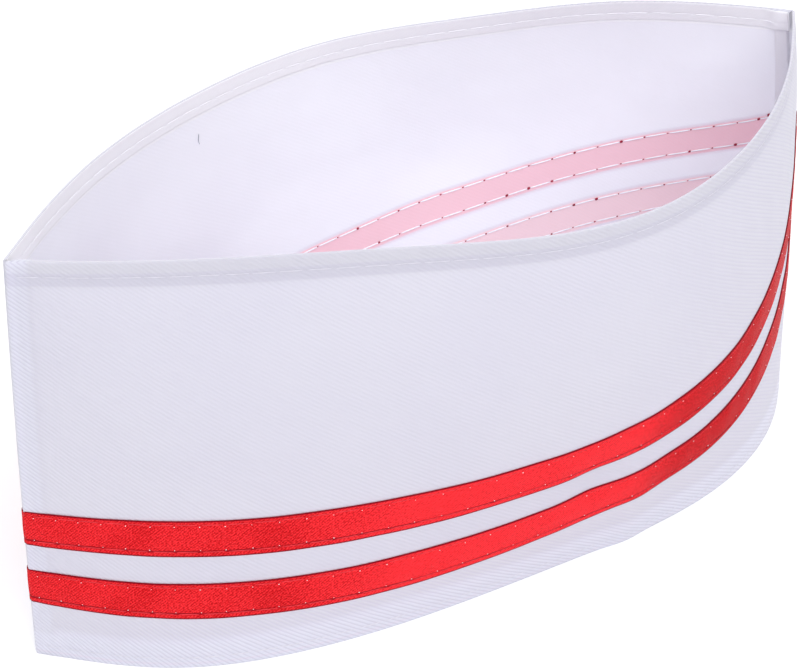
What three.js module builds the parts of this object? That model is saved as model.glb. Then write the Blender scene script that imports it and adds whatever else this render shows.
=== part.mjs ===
// Boat-shaped chef hat turned over, standing on its crown with the head opening up.
// Millimetres, +Z up. The tall end seam is at -X, the low one at +X. The wearer's right side is on -Y.
import * as THREE from 'three';

// Cloth sizes
const clothThickness = 1.2;
const hemDepth = 6.5;
const hemExtra = 0.8;
const allowanceWidth = 6;
const allowanceExtra = 0.8;
const foldRamp = 0.5;

// Ribbon sizes
const ribbonWidth = 10;
const ribbonPitch = 17.6;
const ribbonThickness = 0.8;

// Spacing and clearance
const seamGap = 0.3;
const pieceGap = 0.35;
const panelLength = 284;
const columnSpacing = 7;
const bodyRows = 11;
const seamColumns = [0, allowanceWidth - foldRamp, allowanceWidth + foldRamp];

// How far each end seam bows outwards halfway down
const tallEndBow = -0.5;
const lowEndBow = 5;

// Seven stations, evenly spaced along the cloth from the tall end seam to the low end seam.
// rimX and crownX are places along the hat. ribbonDrop is measured down the cloth from the rim.
const lengthRows = [
  { rimX: -124, crownX: -130.5, ribbonDrop: 70 },
  { rimX: -84.5, crownX: -100, ribbonDrop: 69 },
  { rimX: -41, crownX: -54, ribbonDrop: 68 },
  { rimX: 4, crownX: -2.5, ribbonDrop: 64 },
  { rimX: 49, crownX: 47.5, ribbonDrop: 58 },
  { rimX: 92.5, crownX: 91.5, ribbonDrop: 48.5 },
  { rimX: 126.5, crownX: 125.5, ribbonDrop: 34 },
];

// rimY and crownY are distances out from the line between the end seams.
// belly is how far the wall swells out halfway down.
const rightRows = [
  { rimY: 0, rimZ: 114, crownY: 7.5, belly: 0 },
  { rimY: 17.5, rimZ: 108.5, crownY: 36, belly: 0.5 },
  { rimY: 38.5, rimZ: 106.5, crownY: 52, belly: 3 },
  { rimY: 59.5, rimZ: 106, crownY: 58.5, belly: 4.5 },
  { rimY: 56.5, rimZ: 105, crownY: 60, belly: 3 },
  { rimY: 33, rimZ: 104.5, crownY: 43, belly: -0.5 },
  { rimY: 0, rimZ: 102, crownY: 3, belly: 0 },
];
const leftRows = [
  { rimY: 0, rimZ: 114, crownY: -7.5, belly: 0 },
  { rimY: 31.5, rimZ: 110, crownY: 30.5, belly: -2 },
  { rimY: 51, rimZ: 107, crownY: 47, belly: 0 },
  { rimY: 57.5, rimZ: 105, crownY: 50.5, belly: 3.5 },
  { rimY: 48, rimZ: 103.5, crownY: 43, belly: 6.5 },
  { rimY: 29, rimZ: 103, crownY: 26.5, belly: 5.5 },
  { rimY: 0, rimZ: 102, crownY: -3, belly: 0 },
];

// A natural cubic spline through evenly spaced values, as a function of 0 to 1.
function splineThrough(values) {
  const last = values.length - 1;
  const bend = new Array(values.length).fill(0);
  const pivot = new Array(values.length).fill(1);
  const load = new Array(values.length).fill(0);
  for (let i = 1; i < last; i++) {
    const carried = i > 1 ? 1 / pivot[i - 1] : 0;
    pivot[i] = 4 - carried;
    load[i] = 6 * (values[i + 1] - 2 * values[i] + values[i - 1]) - carried * load[i - 1];
  }
  for (let i = last - 1; i > 0; i--) {
    bend[i] = (load[i] - bend[i + 1]) / pivot[i];
  }
  return (along) => {
    const place = THREE.MathUtils.clamp(along, 0, 1) * last;
    const i = Math.min(Math.floor(place), last - 1);
    const b = place - i;
    const a = 1 - b;
    const line = a * values[i] + b * values[i + 1];
    return line + ((a ** 3 - a) * bend[i] + (b ** 3 - b) * bend[i + 1]) / 6;
  };
}

function columnSpline(rows, column) {
  return splineThrough(rows.map((row) => row[column]));
}

const rimX = columnSpline(lengthRows, 'rimX');
const crownX = columnSpline(lengthRows, 'crownX');
const ribbonDrop = columnSpline(lengthRows, 'ribbonDrop');

// One side of the hat: outwards is -1 on the right and +1 on the left. allowanceEnd is the end
// whose seam allowances it holds.
function makeSide(rows, outwards, allowanceEnd) {
  return {
    outwards,
    allowanceEnd,
    rimY: columnSpline(rows, 'rimY'),
    rimZ: columnSpline(rows, 'rimZ'),
    crownY: columnSpline(rows, 'crownY'),
    belly: columnSpline(rows, 'belly'),
  };
}

const rightSide = makeSide(rightRows, -1, 'tall');
const leftSide = makeSide(leftRows, 1, 'low');

// Unit vector in plan that points out of the hat, from the middle of the wall.
function outwardInPlan(side, along) {
  const step = 0.002;
  const before = Math.max(along - step, 0);
  const after = Math.min(along + step, 1);
  const middleY = (u) => (side.outwards * (side.rimY(u) + side.crownY(u))) / 2;
  const middleX = (u) => (rimX(u) + crownX(u)) / 2;
  const run = new THREE.Vector2(middleX(after) - middleX(before), middleY(after) - middleY(before));
  run.normalize();
  return new THREE.Vector3(-side.outwards * run.y, side.outwards * run.x, 0);
}

// Outer face of a side panel: along runs from seam to seam, down from the rim (0) to the crown edge (1).
function wallPoint(side, along, down) {
  const rim = new THREE.Vector3(rimX(along), side.outwards * side.rimY(along), side.rimZ(along));
  const foot = new THREE.Vector3(crownX(along), side.outwards * side.crownY(along), 0);
  const swell = 4 * down * (1 - down);
  const point = rim.lerp(foot, down);
  point.addScaledVector(outwardInPlan(side, along), side.belly(along) * swell);
  point.x += (tallEndBow * (1 - along) ** 6 + lowEndBow * along ** 6) * swell;
  return point;
}

// Cloth distance down a section, and the way back from a distance to the place on the wall.
function measureSection(side, along) {
  const steps = 24;
  const lengths = [0];
  let previous = wallPoint(side, along, 0);
  for (let k = 1; k <= steps; k++) {
    const point = wallPoint(side, along, k / steps);
    lengths.push(lengths[k - 1] + point.distanceTo(previous));
    previous = point;
  }
  const total = lengths[steps];
  const downAt = (drop) => {
    const k = Math.min(Math.max(lengths.findIndex((length) => length >= drop), 1), steps);
    return (k - 1 + (drop - lengths[k - 1]) / (lengths[k] - lengths[k - 1])) / steps;
  };
  return { total, downAt };
}

function outwardNormal(side, along, down) {
  const step = 0.004;
  const acrossStart = wallPoint(side, Math.max(along - step, 0), down);
  const acrossEnd = wallPoint(side, Math.min(along + step, 1), down);
  const downStart = wallPoint(side, along, Math.max(down - step, 0));
  const downEnd = wallPoint(side, along, Math.min(down + step, 1));
  const across = acrossEnd.sub(acrossStart);
  const downwards = downEnd.sub(downStart);
  return across.cross(downwards).multiplyScalar(side.outwards).normalize();
}

// Depth of the mitre along X where two panels of this thickness meet at an end seam.
function mitrePoint(point, side, along, thickness) {
  const inwards = along < 0.5 ? 1 : -1;
  const normal = outwardInPlan(side, along);
  return new THREE.Vector3(point.x + (inwards * thickness) / Math.abs(normal.x), point.y, point.z);
}

function smoothStep(distance, edge) {
  return 1 - THREE.MathUtils.smoothstep(distance, edge - foldRamp, edge + foldRamp);
}

function columnPlaces() {
  const inner = panelLength - 2 * seamColumns[seamColumns.length - 1];
  const count = Math.round(inner / columnSpacing);
  const start = seamColumns[seamColumns.length - 1];
  const places = [...seamColumns];
  for (let k = 1; k < count; k++) {
    places.push(start + (inner * k) / count);
  }
  for (const place of [...seamColumns].reverse()) {
    places.push(panelLength - place);
  }
  return places.map((place) => place / panelLength);
}

// Closed solid between two grids of points, each an array of columns of the same height.
function shellBetween(outer, inner) {
  const columns = outer.length;
  const rows = outer[0].length;
  const positions = [];
  for (const grid of [outer, inner]) {
    for (const column of grid) {
      for (const point of column) {
        positions.push(point.x, point.y, point.z);
      }
    }
  }
  const outerIndex = (i, j) => i * rows + j;
  const innerIndex = (i, j) => columns * rows + i * rows + j;
  const index = [];
  const quad = (a, b, c, d) => index.push(a, b, c, a, c, d);
  for (let i = 0; i < columns - 1; i++) {
    for (let j = 0; j < rows - 1; j++) {
      quad(outerIndex(i, j), outerIndex(i, j + 1), outerIndex(i + 1, j + 1), outerIndex(i + 1, j));
      quad(innerIndex(i, j), innerIndex(i + 1, j), innerIndex(i + 1, j + 1), innerIndex(i, j + 1));
    }
    quad(outerIndex(i, 0), outerIndex(i + 1, 0), innerIndex(i + 1, 0), innerIndex(i, 0));
    const foot = rows - 1;
    quad(outerIndex(i, foot), innerIndex(i, foot), innerIndex(i + 1, foot), outerIndex(i + 1, foot));
  }
  const end = columns - 1;
  for (let j = 0; j < rows - 1; j++) {
    quad(outerIndex(0, j), innerIndex(0, j), innerIndex(0, j + 1), outerIndex(0, j + 1));
    quad(outerIndex(end, j), outerIndex(end, j + 1), innerIndex(end, j + 1), innerIndex(end, j));
  }
  const geometry = new THREE.BufferGeometry();
  geometry.setAttribute('position', new THREE.Float32BufferAttribute(positions, 3));
  geometry.setIndex(index);
  return geometry;
}

// The grids above wind outwards on the right side, and inwards on the mirrored left side.
function turnFaces(geometry) {
  const index = geometry.getIndex();
  for (let i = 0; i < index.count; i += 3) {
    const second = index.getX(i + 1);
    index.setX(i + 1, index.getX(i + 2));
    index.setX(i + 2, second);
  }
  return geometry;
}

function finishShell(side, outer, inner) {
  const geometry = shellBetween(outer, inner);
  const wound = side.outwards < 0 ? geometry : turnFaces(geometry);
  wound.computeVertexNormals();
  return wound;
}

function isSeam(along) {
  return along === 0 || along === 1;
}

// A side panel with its rim hem. Both allowances of an end seam are pressed to the right panel
// at the tall end and to the left panel at the low end, with the hem as thick as they are.
function sidePanelGeometry(side) {
  const outer = [];
  const inner = [];
  for (const along of columnPlaces()) {
    const section = measureSection(side, along);
    const drops = [0, hemDepth - foldRamp, hemDepth + foldRamp];
    const bodyStart = drops[drops.length - 1];
    for (let k = 1; k <= bodyRows; k++) {
      drops.push(bodyStart + ((section.total - bodyStart) * k) / bodyRows);
    }
    const seamDistance = Math.min(along, 1 - along) * panelLength;
    const holdsAllowance = side.allowanceEnd === (along < 0.5 ? 'tall' : 'low');
    const allowance = holdsAllowance ? allowanceExtra * smoothStep(seamDistance, allowanceWidth) : 0;
    const outerColumn = [];
    const innerColumn = [];
    for (const drop of drops) {
      const down = section.downAt(drop);
      const point = wallPoint(side, along, down);
      if (isSeam(along)) {
        point.y += (side.outwards * seamGap) / 2;
      }
      const thickness = clothThickness + Math.max(allowance, hemExtra * smoothStep(drop, hemDepth));
      const normal = outwardNormal(side, along, down);
      const innerPoint = isSeam(along)
        ? mitrePoint(point, side, along, thickness)
        : point.clone().addScaledVector(normal, -thickness);
      outerColumn.push(point);
      innerColumn.push(innerPoint);
    }
    outerColumn[outerColumn.length - 1].z = 0;
    innerColumn[innerColumn.length - 1].z = 0;
    outer.push(outerColumn);
    inner.push(innerColumn);
  }
  return finishShell(side, outer, inner);
}

// A ribbon laid on the outside of a panel, firstDrop below the line of the ribbon nearest the rim.
function ribbonGeometry(side, firstDrop) {
  const outer = [];
  const inner = [];
  for (const along of columnPlaces()) {
    const section = measureSection(side, along);
    const top = ribbonDrop(along) + firstDrop;
    const outerColumn = [];
    const innerColumn = [];
    for (const drop of [top, top + ribbonWidth / 2, top + ribbonWidth]) {
      const down = section.downAt(drop);
      const normal = outwardNormal(side, along, down);
      const point = wallPoint(side, along, down);
      if (isSeam(along)) {
        point.y += (side.outwards * seamGap) / 2;
      }
      innerColumn.push(point.clone().addScaledVector(normal, pieceGap));
      outerColumn.push(point.clone().addScaledVector(normal, pieceGap + ribbonThickness));
    }
    outer.push(outerColumn);
    inner.push(innerColumn);
  }
  return finishShell(side, outer, inner);
}

// The crown lies flat inside the two panels' feet.
function crownGeometry() {
  const inset = clothThickness + allowanceExtra + pieceGap;
  const seamClearance = 0.02;
  const footSteps = 44;
  const outline = [];
  for (const side of [rightSide, leftSide]) {
    for (let k = 0; k <= footSteps; k++) {
      const place = side === rightSide ? k / footSteps : 1 - k / footSteps;
      const along = seamClearance + (1 - 2 * seamClearance) * place;
      const point = wallPoint(side, along, 1);
      point.addScaledVector(outwardNormal(side, along, 1).setZ(0).normalize(), -inset);
      outline.push(new THREE.Vector2(point.x, point.y));
    }
  }
  return new THREE.ExtrudeGeometry(new THREE.Shape(outline), {
    depth: clothThickness,
    bevelEnabled: false,
    curveSegments: 1,
  });
}

const twill = new THREE.MeshStandardMaterial({ color: 0xe8e8f4, roughness: 0.85, metalness: 0 });
const satin = new THREE.MeshStandardMaterial({ color: 0xd91424, roughness: 0.4, metalness: 0 });

function namedMesh(name, geometry, material) {
  const mesh = new THREE.Mesh(geometry, material);
  mesh.name = name;
  return mesh;
}

const hat = new THREE.Group();
hat.add(namedMesh('right_side_panel', sidePanelGeometry(rightSide), twill));
hat.add(namedMesh('left_side_panel', sidePanelGeometry(leftSide), twill));
hat.add(namedMesh('crown_panel', crownGeometry(), twill));
hat.add(namedMesh('right_ribbon_by_rim', ribbonGeometry(rightSide, 0), satin));
hat.add(namedMesh('right_ribbon_by_crown', ribbonGeometry(rightSide, ribbonPitch), satin));
hat.add(namedMesh('left_ribbon_by_rim', ribbonGeometry(leftSide, 0), satin));
hat.add(namedMesh('left_ribbon_by_crown', ribbonGeometry(leftSide, ribbonPitch), satin));

// The origin is the middle of the hat's footprint box, on the surface that it stands on.
const extent = new THREE.Box3().setFromObject(hat);
const middle = extent.getCenter(new THREE.Vector3());
hat.position.set(-middle.x, -middle.y, -extent.min.z);

export default hat;
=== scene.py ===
import bpy
import bmesh
import math
import random
from mathutils import Matrix, Vector, noise


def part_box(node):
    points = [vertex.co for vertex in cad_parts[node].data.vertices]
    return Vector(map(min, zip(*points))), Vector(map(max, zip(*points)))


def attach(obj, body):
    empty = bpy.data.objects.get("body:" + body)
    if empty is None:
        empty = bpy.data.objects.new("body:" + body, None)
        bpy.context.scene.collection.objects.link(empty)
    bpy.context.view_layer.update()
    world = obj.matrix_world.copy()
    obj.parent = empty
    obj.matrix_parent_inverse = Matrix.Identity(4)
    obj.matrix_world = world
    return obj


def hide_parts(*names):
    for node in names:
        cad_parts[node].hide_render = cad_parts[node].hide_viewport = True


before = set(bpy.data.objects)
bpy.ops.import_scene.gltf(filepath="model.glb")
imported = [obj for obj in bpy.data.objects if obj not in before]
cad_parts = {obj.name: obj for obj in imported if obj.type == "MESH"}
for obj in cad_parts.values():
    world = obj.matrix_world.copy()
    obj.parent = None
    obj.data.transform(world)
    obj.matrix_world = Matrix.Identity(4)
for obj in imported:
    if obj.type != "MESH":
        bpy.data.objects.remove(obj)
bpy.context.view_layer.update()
dice = random.Random(11)
mm = 0.001
print("frame loaded")

# The shape of the hat

# Seven stations, evenly spaced along the cloth from the tall end seam to the low end seam, in mm.
# Y sizes are taken outwards from the line between the two end seams, belly is the swell halfway down.
# The upper ribbon lies ribbonDrop down from the rim, the lower one ribbonPitch further down.
hatShape = {
    "rimX": (-124, -84.5, -41, 4, 49, 92.5, 126.5),
    "crownX": (-130.5, -100, -54, -2.5, 47.5, 91.5, 125.5),
    "ribbonDrop": (70, 69, 68, 64, 58, 48.5, 34),
    "ribbonPitch": 17.6,
    "ribbonWidth": 10,
    "tallEndBow": -0.5,
    "lowEndBow": 5,
    "sectionSteps": 24,
    "slopeReach": 0.002,
}
clothLength = 284
rightShape = {
    "name": "right",
    "out": -1,
    "rimY": (0, 17.5, 38.5, 59.5, 56.5, 33, 0),
    "rimZ": (114, 108.5, 106.5, 106, 105, 104.5, 102),
    "crownY": (7.5, 36, 52, 58.5, 60, 43, 3),
    "belly": (0, 0.5, 3, 4.5, 3, -0.5, 0),
    "allowanceAt": "tallEnd",
}
leftShape = {
    "name": "left",
    "out": 1,
    "rimY": (0, 31.5, 51, 57.5, 48, 29, 0),
    "rimZ": (114, 110, 107, 105, 103.5, 103, 102),
    "crownY": (-7.5, 30.5, 47, 50.5, 43, 26.5, -3),
    "belly": (0, -2, 0, 3.5, 6.5, 5.5, 0),
    "allowanceAt": "lowEnd",
}


# A smooth curve through evenly spaced sizes, as a function of 0 to 1
def smoothCurve(sizes):
    last = len(sizes) - 1
    bend = [0.0] * (last + 1)
    pivot = [1.0] * (last + 1)
    load = [0.0] * (last + 1)
    for i in range(1, last):
        carried = 1 / pivot[i - 1] if i > 1 else 0
        pivot[i] = 4 - carried
        load[i] = 6 * (sizes[i + 1] - 2 * sizes[i] + sizes[i - 1]) - carried * load[i - 1]
    for i in range(last - 1, 0, -1):
        bend[i] = (load[i] - bend[i + 1]) / pivot[i]

    def sizeAt(along):
        place = min(max(along, 0), 1) * last
        i = min(int(place), last - 1)
        b = place - i
        a = 1 - b
        straight = a * sizes[i] + b * sizes[i + 1]
        return straight + ((a**3 - a) * bend[i] + (b**3 - b) * bend[i + 1]) / 6

    return sizeAt


def smoothStep(low, high, value):
    t = min(max((value - low) / (high - low), 0), 1)
    return t * t * (3 - 2 * t)


rimX = smoothCurve(hatShape["rimX"])
crownX = smoothCurve(hatShape["crownX"])
ribbonDrop = smoothCurve(hatShape["ribbonDrop"])
for shape in (rightShape, leftShape):
    shape["rimYAt"] = smoothCurve(shape["rimY"])
    shape["rimZAt"] = smoothCurve(shape["rimZ"])
    shape["crownYAt"] = smoothCurve(shape["crownY"])
    shape["bellyAt"] = smoothCurve(shape["belly"])
    shape["sections"] = {}


def rimPoint(shape, along):
    return Vector((rimX(along), shape["out"] * shape["rimYAt"](along), shape["rimZAt"](along)))


def footPoint(shape, along):
    return Vector((crownX(along), shape["out"] * shape["crownYAt"](along), 0))


def sectionPoint(section, down):
    return section["rim"].lerp(section["foot"], down) + section["swell"] * (4 * down * (1 - down))


# One upright section of a side: its rim, foot and swell, and the length of cloth down it
def sectionAt(shape, along):
    key = round(along, 4)
    section = shape["sections"].get(key)
    if section:
        return section
    before = max(along - hatShape["slopeReach"], 0)
    after = min(along + hatShape["slopeReach"], 1)
    run = rimPoint(shape, after) - rimPoint(shape, before)
    run += footPoint(shape, after) - footPoint(shape, before)
    run.z = 0
    run.normalize()
    swell = Vector((-run.y, run.x, 0)) * (shape["out"] * shape["bellyAt"](along))
    swell.x += hatShape["tallEndBow"] * (1 - along) ** 6 + hatShape["lowEndBow"] * along**6
    section = {"rim": rimPoint(shape, along), "foot": footPoint(shape, along), "swell": swell}
    lengths = [0]
    lastPoint = section["rim"]
    steps = hatShape["sectionSteps"]
    for k in range(1, steps + 1):
        point = sectionPoint(section, k / steps)
        lengths.append(lengths[-1] + (point - lastPoint).length)
        lastPoint = point
    section["lengths"] = lengths
    section["total"] = lengths[-1]
    shape["sections"][key] = section
    return section


# How far down a section that much cloth reaches, 0 at the rim and 1 at the foot
def downAt(section, drop):
    lengths = section["lengths"]
    steps = hatShape["sectionSteps"]
    k = 1
    while k < steps and lengths[k] < drop:
        k += 1
    return (k - 1 + (drop - lengths[k - 1]) / (lengths[k] - lengths[k - 1])) / steps


# The cloth of the sides, in mm. Its rows are taken down from the rim's fold and up from the foot's.
sideCloth = {
    "thickness": 0.38,
    "foldRadius": 0.2,
    "foldSteps": 6,
    "hemRows": (6.5, 6.42, 5.6, 4.8, 4.2, 3.6, 2.8, 2, 1.3, 0.6),
    "turnUpRows": (0.6, 1.3, 2.2, 3, 3.8, 5, 6, 6.92, 7),
    "wallRows": 72,
    "columnStep": 1.6,
    "columnsPastSeam": (0.5, 1, 1.5, 2),
    "seamReach": 14,
    "seamTurn": 0.5,
    "seamClear": 0.03,
    "pastSeam": 2,
    "mitreSteps": 14,
    "allowance": 5.6,
    "allowanceSlope": (4.8, 7.8),
    "allowanceLap": 0.6,
    "allowanceStep": 0.7,
    "allowanceRows": 60,
    "allowanceGap": 1.3,
    "layerGap": 0.05,
    "edgeRow": 0.08,
    "reliefOutside": 0.18,
    "reliefInside": 0.95,
    "flat": (0.128, 0.297),
}
half = sideCloth["thickness"] / 2
fold = sideCloth["foldRadius"]

# Slow waves of soft cloth, in mm out of the wall, gone at the seams and the foot and low at the rim
softWaves = {
    "alongScale": 7,
    "downScale": 0.026,
    "depth": 0.9,
    "smallAlongScale": 31,
    "smallDownScale": 0.11,
    "smallDepth": 0.16,
    "endReach": 0.1,
    "footReach": 22,
    "rimReach": 24,
    "rimShare": 0.35,
}

# Single dents and bulges: side, place along, reach along, rise from the foot, reach down, depth outwards
softDents = (
    ("right", 0.525, 0.024, 27, 8, -1.2),
    ("right", 0.575, 0.022, 8, 18, 1.0),
    ("right", 0.30, 0.060, 58, 26, -0.8),
    ("left", 0.62, 0.050, 50, 24, 0.9),
    ("left", 0.37, 0.055, 36, 22, 2.0),
)


def softWave(shape, along, drop, total):
    ends = smoothStep(0, softWaves["endReach"], along) * smoothStep(0, softWaves["endReach"], 1 - along)
    edges = smoothStep(0, softWaves["footReach"], total - drop)
    rimShare = softWaves["rimShare"]
    edges *= rimShare + (1 - rimShare) * smoothStep(0, softWaves["rimReach"], drop)
    seed = 3.1 if shape["out"] > 0 else 0.4
    slow = noise.noise(Vector((along * softWaves["alongScale"], drop * softWaves["downScale"], seed)))
    smallPlace = (along * softWaves["smallAlongScale"], drop * softWaves["smallDownScale"], seed + 5)
    small = noise.noise(Vector(smallPlace))
    wave = ends * edges * (softWaves["depth"] * slow + softWaves["smallDepth"] * small)
    for side, place, reach, rise, reachDown, depth in softDents:
        if side == shape["name"]:
            far = ((along - place) / reach) ** 2 + ((total - drop - rise) / reachDown) ** 2
            wave += depth * math.exp(-far)
    return wave


# A place on the cloth, in mm: drop down from the rim, depth in from the outer face
def clothPoint(shape, along, drop, depth):
    section = sectionAt(shape, along)
    down = downAt(section, drop)
    reach = 2 * hatShape["slopeReach"]
    after = sectionAt(shape, min(along + reach, 1))
    before = sectionAt(shape, max(along - reach, 0))
    across = sectionPoint(after, down) - sectionPoint(before, down)
    fall = sectionPoint(section, min(down + reach, 1)) - sectionPoint(section, max(down - reach, 0))
    outwards = across.cross(fall).normalized() * shape["out"]
    lift = softWave(shape, along, drop, section["total"]) - depth
    return sectionPoint(section, down) + outwards * lift


# The upright plane of an end seam, as its Y at a height
def seamY(atTallEnd, height):
    place = 0 if atTallEnd else -1
    foot = -rightShape["crownY"][place]
    return foot * (1 - min(max(height / rightShape["rimZ"][place], 0), 1))


mitres = {}


# How far from the end a layer of that depth meets the seam's plane
def mitreAt(shape, atTallEnd, drop, depth, clear):
    key = (shape["name"], atTallEnd, round(drop), round(depth, 2), clear)
    if key not in mitres:
        mitres[key] = findMitre(shape, atTallEnd, drop, depth, clear)
    return mitres[key]


# A place that far from one end, as a share of the cloth's length
def shareAlong(atTallEnd, fromEnd):
    along = fromEnd / clothLength
    return along if atTallEnd else 1 - along


def findMitre(shape, atTallEnd, drop, depth, clear):
    low = 0.0
    high = sideCloth["seamReach"]
    for step in range(sideCloth["mitreSteps"]):
        middle = (low + high) / 2
        point = clothPoint(shape, shareAlong(atTallEnd, middle), drop, depth)
        if shape["out"] * (point.y - seamY(atTallEnd, point.z)) < clear:
            low = middle
        else:
            high = middle
    return high


# A smooth turn from start to end around a corner, t from 0 to 1
def turnCorner(start, corner, end, t):
    return start * (1 - t) ** 2 + corner * (2 * t * (1 - t)) + end * t**2


# Close to a seam the cloth's run is squeezed a little, so that it ends clear of the mitre
def squeezedPlace(corner, fromEnd):
    start = corner + sideCloth["seamTurn"]
    reach = sideCloth["seamReach"]
    return start + max(fromEnd, 0) * (reach - start) / reach


# A place on a side, run mm from the tall end's seam. Past either seam the cloth turns inwards.
def sidePoint(shape, run, drop, depth, clear):
    atTallEnd = run < clothLength / 2
    fromEnd = run if atTallEnd else clothLength - run
    if fromEnd >= sideCloth["seamReach"]:
        return clothPoint(shape, run / clothLength, drop, depth)
    corner = mitreAt(shape, atTallEnd, drop, depth, clear)
    point = clothPoint(shape, shareAlong(atTallEnd, squeezedPlace(corner, fromEnd)), drop, depth)
    if fromEnd >= 0:
        return point
    bendPoint = clothPoint(shape, shareAlong(atTallEnd, corner), drop, depth)
    turn = sideCloth["seamTurn"]
    inside = bendPoint + Vector((turn if atTallEnd else -turn, 0, 0))
    return turnCorner(point, bendPoint, inside, min(-fromEnd / sideCloth["pastSeam"], 1))


# How a ribbon lies down near an end seam, and how its tip is tucked in there, in mm
ribbonEnd = {"reach": 9, "liftShare": 0.3, "past": 0.2, "aside": 0.04, "tuck": 0.7}


# A place on a ribbon sewn to the wall, lift mm off its outer face, following the wall into the seam
def ribbonPoint(shape, run, drop, lift):
    atTallEnd = run < clothLength / 2
    fromEnd = run if atTallEnd else clothLength - run
    if fromEnd >= sideCloth["seamReach"]:
        return clothPoint(shape, run / clothLength, drop, -lift)
    liftShare = ribbonEnd["liftShare"]
    lift *= liftShare + (1 - liftShare) * smoothStep(0, ribbonEnd["reach"], fromEnd)
    corner = mitreAt(shape, atTallEnd, drop, half, half + sideCloth["seamClear"])
    point = clothPoint(shape, shareAlong(atTallEnd, squeezedPlace(corner, fromEnd)), drop, -lift)
    if fromEnd >= 0:
        return point
    wallBend = clothPoint(shape, shareAlong(atTallEnd, corner), drop, half)
    inwards = Vector((1 if atTallEnd else -1, 0, 0))
    tip = wallBend - inwards * (half + lift + ribbonEnd["past"])
    tip.y = seamY(atTallEnd, tip.z) + shape["out"] * ribbonEnd["aside"]
    tuck = tip + inwards * ribbonEnd["tuck"]
    return turnCorner(point, tip, tuck, min(-fromEnd / sideCloth["pastSeam"], 1))


# The stations' own zero lies a little aside of the frame's, which is the middle of the whole hat
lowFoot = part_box("right_side_panel")[0]
widest = min(
    sectionPoint(sectionAt(rightShape, k / 500), j / 40).y for k in range(180, 420, 2) for j in range(41)
)
hatShift = Vector((lowFoot.x / mm - hatShape["crownX"][0], lowFoot.y / mm - widest, 0))


def placed(point):
    return (point + hatShift) * mm


# Building sheets from grids

# What each point of a cloth knows, in mm from its edges, farAway where the edge has no part in its look
farAway = 40.0
plainFacts = {
    "fromRim": farAway,
    "fromFoot": farAway,
    "fromSeamEdge": farAway,
    "fromRibbonTop": -farAway,
    "turnedIn": 0.0,
}

# The material of faces that are turned in, those with two corners or more there
foldedMaterial = 2
foldedCorners = 2


# A flat grid of cloth, whose points are then laid in place. spot gives each point, its run and its facts.
def layGrid(bm, columns, rows, spot, factNames):
    uvLayer = bm.loops.layers.uv.get("clothRun") or bm.loops.layers.uv.new("clothRun")
    for name in factNames:
        if not bm.verts.layers.float.get(name):
            bm.verts.layers.float.new(name)
    made = bmesh.ops.create_grid(bm, x_segments=len(columns) - 1, y_segments=len(rows) - 1, size=1)
    flat = {}
    for vert in made["verts"]:
        column = round((vert.co.x + 1) / 2 * (len(columns) - 1))
        row = round((vert.co.y + 1) / 2 * (len(rows) - 1))
        point, run, facts = spot(columns[column], rows[row])
        flat[vert] = run
        vert.co = placed(point)
        for name in factNames:
            vert[bm.verts.layers.float[name]] = facts[name]
    for face in {face for vert in flat for face in vert.link_faces}:
        for loop in face.loops:
            loop[uvLayer].uv = flat[loop.vert]
        if "turnedIn" in factNames:
            turnedIn = sum(vert[bm.verts.layers.float["turnedIn"]] for vert in face.verts)
            face.material_index = foldedMaterial if turnedIn >= foldedCorners else 0


def evenly(start, end, step):
    count = max(1, round(abs(end - start) / step))
    return [start + (end - start) * k / count for k in range(count + 1)]


# Columns along the whole cloth, with some past each end seam
def columnsAlong(step, past):
    return [-run for run in reversed(past)] + evenly(0, clothLength, step) + [clothLength + run for run in past]


def finishPiece(name, bm, materials):
    mesh = bpy.data.meshes.new(name)
    bm.to_mesh(mesh)
    bm.free()
    for polygon in mesh.polygons:
        polygon.use_smooth = True
    for material in materials:
        mesh.materials.append(material)
    piece = bpy.data.objects.new(name, mesh)
    bpy.context.scene.collection.objects.link(piece)
    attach(piece, "root")
    return piece


def thicken(piece, thickness, insideStep=0):
    wall = piece.modifiers.new("clothThickness", "SOLIDIFY")
    wall.thickness = thickness * mm
    wall.offset = 0
    wall.use_even_offset = False
    wall.use_quality_normals = True
    wall.material_offset = insideStep


# Materials


# Links a socket to another node, or gives it a plain value
def feed(tree, socket, value):
    if isinstance(value, bpy.types.NodeSocket):
        tree.links.new(value, socket)
    else:
        socket.default_value = value


# A node of that kind with its inputs fed by name
def addNode(tree, kind, **inputs):
    node = tree.nodes.new(kind)
    for name, value in inputs.items():
        feed(tree, node.inputs[name], value)
    return node


def calculate(tree, operation, first, second=0.0):
    node = tree.nodes.new("ShaderNodeMath")
    node.operation = operation
    feed(tree, node.inputs[0], first)
    feed(tree, node.inputs[1], second)
    return node.outputs[0]


def times(tree, first, second):
    return calculate(tree, "MULTIPLY", first, second)


def fact(tree, name):
    node = tree.nodes.new("ShaderNodeAttribute")
    node.attribute_name = name
    return node.outputs["Fac"]


def softEdge(tree, value, low, high, start=0.0, end=1.0):
    node = tree.nodes.new("ShaderNodeMapRange")
    node.interpolation_type = "SMOOTHSTEP"
    for socket, size in zip(node.inputs, (value, low, high, start, end)):
        feed(tree, socket, size)
    return node.outputs[0]


# 1 between low and high, falling to 0 over the softness outside them
def stripe(tree, value, low, high, softness):
    rise = softEdge(tree, value, low - softness, low)
    fall = softEdge(tree, value, high, high + softness, 1.0, 0.0)
    return times(tree, rise, fall)


def mixColour(tree, amount, first, second):
    node = tree.nodes.new("ShaderNodeMix")
    node.data_type = "RGBA"
    for index, value in ((0, amount), (6, first), (7, second)):
        feed(tree, node.inputs[index], value)
    return node.outputs[2]


# Lets a share of another colour in where the mask is 1
def tint(tree, colour, mask, share, other):
    return mixColour(tree, times(tree, mask, share), colour, other)


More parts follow.
